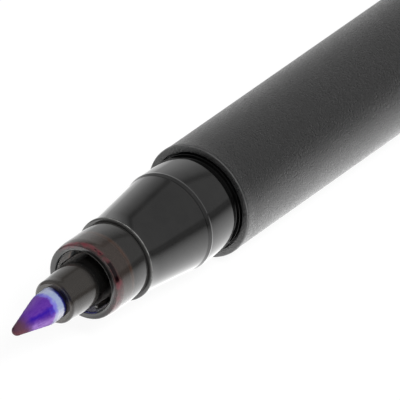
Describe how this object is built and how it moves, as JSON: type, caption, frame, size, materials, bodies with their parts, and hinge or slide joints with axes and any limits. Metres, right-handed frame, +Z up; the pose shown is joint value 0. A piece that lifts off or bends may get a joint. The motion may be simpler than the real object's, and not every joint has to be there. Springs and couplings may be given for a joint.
{
  "type": "etch resist pen",
  "caption": "Slim fibre-tip marker with a stained cone nib in a smoked holder, gloss cap seat and matt black barrel, its clip cap posted on the tail.",
  "frame": {"origin": "on the pen's axis, at the flat end of the posted cap", "axes": "+X along the pen, from the nib to the tail; +Z up with the pen lying on a table, its clip resting on it on the +Y side"},
  "size_m": [0.1603, 0.0135, 0.011],
  "materials": {
    "stained_fibre": "pressed fibre, stained violet",
    "smoked_plastic": "smoked clear, glossy",
    "gloss_black": "glossy",
    "matt_black": "fine matt grain",
    "inked_fibre": "ink-soaked fibre",
    "clear_film": "clear film",
    "cap_black": "satin",
    "natural_plastic": "natural, unpigmented"
  },
  "bodies": {
    "pen": {"nib": "stained_fibre", "nib_holder": "smoked_plastic", "front_section": "gloss_black", "barrel": "matt_black", "ink_reservoir": "inked_fibre", "reservoir_film": "clear_film", "tail_plug": "gloss_black"},
    "cap": {"cap_shell": "cap_black", "cap_liner": "natural_plastic", "cap_crown": "cap_black"}
  },
  "joints": [
    {"name": "cap_pull", "type": "slide", "parent": "pen", "child": "cap", "axis": [1, 0, 0], "range_m": [0, 0.03]}
  ]
}
